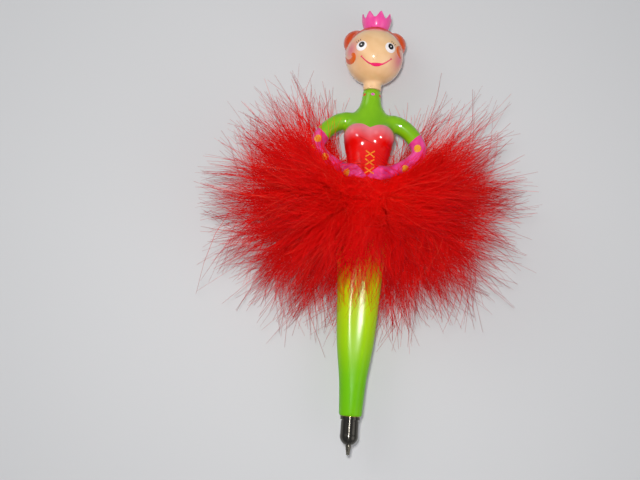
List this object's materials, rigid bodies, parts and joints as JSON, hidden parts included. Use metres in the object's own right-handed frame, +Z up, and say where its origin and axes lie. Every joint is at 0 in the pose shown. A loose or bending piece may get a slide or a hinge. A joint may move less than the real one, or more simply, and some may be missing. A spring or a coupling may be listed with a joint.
{
  "type": "novelty ballpoint pen",
  "caption": "Ballpoint pen shaped as a doll with a ball head, small crown, hands on hips and a feather skirt, whose legs are the barrel; lying on its back.",
  "frame": {"origin": "on the surface it lies on, below the pen's axis, half way along the pen", "axes": "+Y along the pen from the writing tip to the crown, +Z up, towards the doll's face, X across"},
  "size_m": [0.1218, 0.178, 0.0569],
  "materials": {
    "ball_steel": "polished",
    "tip_steel": "satin",
    "refill_plastic": "translucent",
    "ink": "wet",
    "nickel": "polished",
    "brass": "machined",
    "white_plastic": "moulded",
    "leg_enamel": "lacquered",
    "body_enamel": "lacquered",
    "head_enamel": "lacquered",
    "crown_enamel": "lacquered",
    "cord": "woven",
    "feathers": "dyed down"
  },
  "bodies": {
    "pen": {"crown": "crown_enamel", "guide_tube": "white_plastic", "head": "head_enamel", "ink_column": "ink", "legs_barrel": "leg_enamel", "nose_cone": "nickel", "plume_front_left_1": "feathers", "plume_front_right_1": "feathers", "plume_ground_left_1": "feathers", "plume_ground_left_2": "feathers", "plume_ground_left_3": "feathers", "plume_ground_left_4": "feathers", "plume_ground_left_5": "feathers", "plume_ground_left_6": "feathers", "plume_ground_right_1": "feathers", "plume_ground_right_2": "feathers", "plume_ground_right_3": "feathers", "plume_ground_right_4": "feathers", "plume_ground_right_5": "feathers", "plume_ground_right_6": "feathers", "plume_high_left_1": "feathers", "plume_high_left_2": "feathers", "plume_high_right_1": "feathers", "plume_high_right_2": "feathers", "plume_low_left_1": "feathers", "plume_low_left_2": "feathers", "plume_low_left_3": "feathers", "plume_low_left_4": "feathers", "plume_low_right_1": "feathers", "plume_low_right_2": "feathers", "plume_low_right_3": "feathers", "plume_low_right_4": "feathers", "plume_middle_left_1": "feathers", "plume_middle_left_2": "feathers", "plume_middle_left_3": "feathers", "plume_middle_right_1": "feathers", "plume_middle_right_2": "feathers", "plume_middle_right_3": "feathers", "refill_tip": "tip_steel", "refill_tube": "refill_plastic", "skirt_cord": "cord", "thread_insert": "brass", "upper_body": "body_enamel"},
    "ball": {"writing_ball": "ball_steel"}
  },
  "joints": [
    {"name": "ball_roll", "type": "hinge", "parent": "pen", "child": "ball", "pos_m": [0, -0.08853, 0.01225], "axis": [1, 0, 0], "continuous": true}
  ]
}
